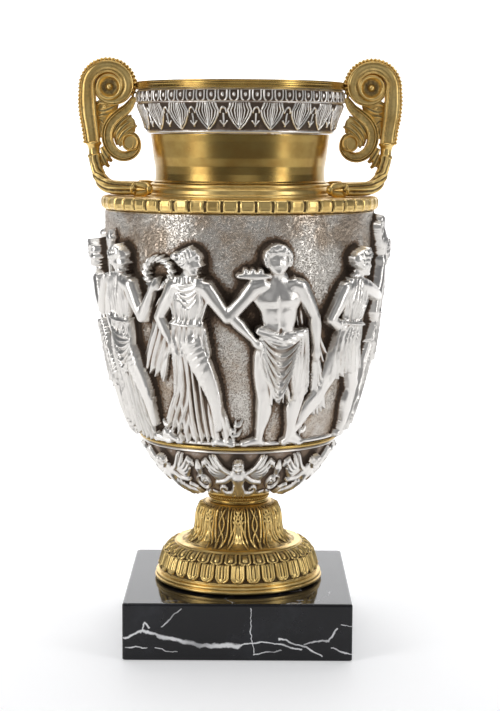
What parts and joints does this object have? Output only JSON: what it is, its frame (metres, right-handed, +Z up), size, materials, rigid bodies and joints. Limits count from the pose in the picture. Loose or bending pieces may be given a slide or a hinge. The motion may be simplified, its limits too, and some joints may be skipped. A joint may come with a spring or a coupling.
{
  "type": "mantel urn",
  "caption": "Two-handled cast metal urn with a figured frieze in relief, a leafy lip, volute handles and a carved foot, on a square marble plinth.",
  "frame": {"origin": "centre of the plinth's underside, on the surface it stands on", "axes": "+Z up, -Y towards the front, the two handles along -X and +X"},
  "size_m": [0.1742, 0.1552, 0.3128],
  "materials": {
    "gilt_bronze": "gilt, polished on the plain neck, matt and darker in the hollows",
    "silvered_bronze": "silvered and rubbed bright on the relief, brown in the hollows",
    "black_marble": "polished black with white veins"
  },
  "bodies": {
    "root": {"marble_plinth": "black_marble", "foot": "gilt_bronze", "foot_collar": "gilt_bronze", "lower_bowl": "silvered_bronze", "bowl_fillet": "gilt_bronze", "body": "silvered_bronze", "beaded_shoulder": "gilt_bronze", "neck": "gilt_bronze", "lip_band": "silvered_bronze", "rim": "gilt_bronze", "handle_left": "gilt_bronze", "handle_right": "gilt_bronze"}
  },
  "joints": []
}
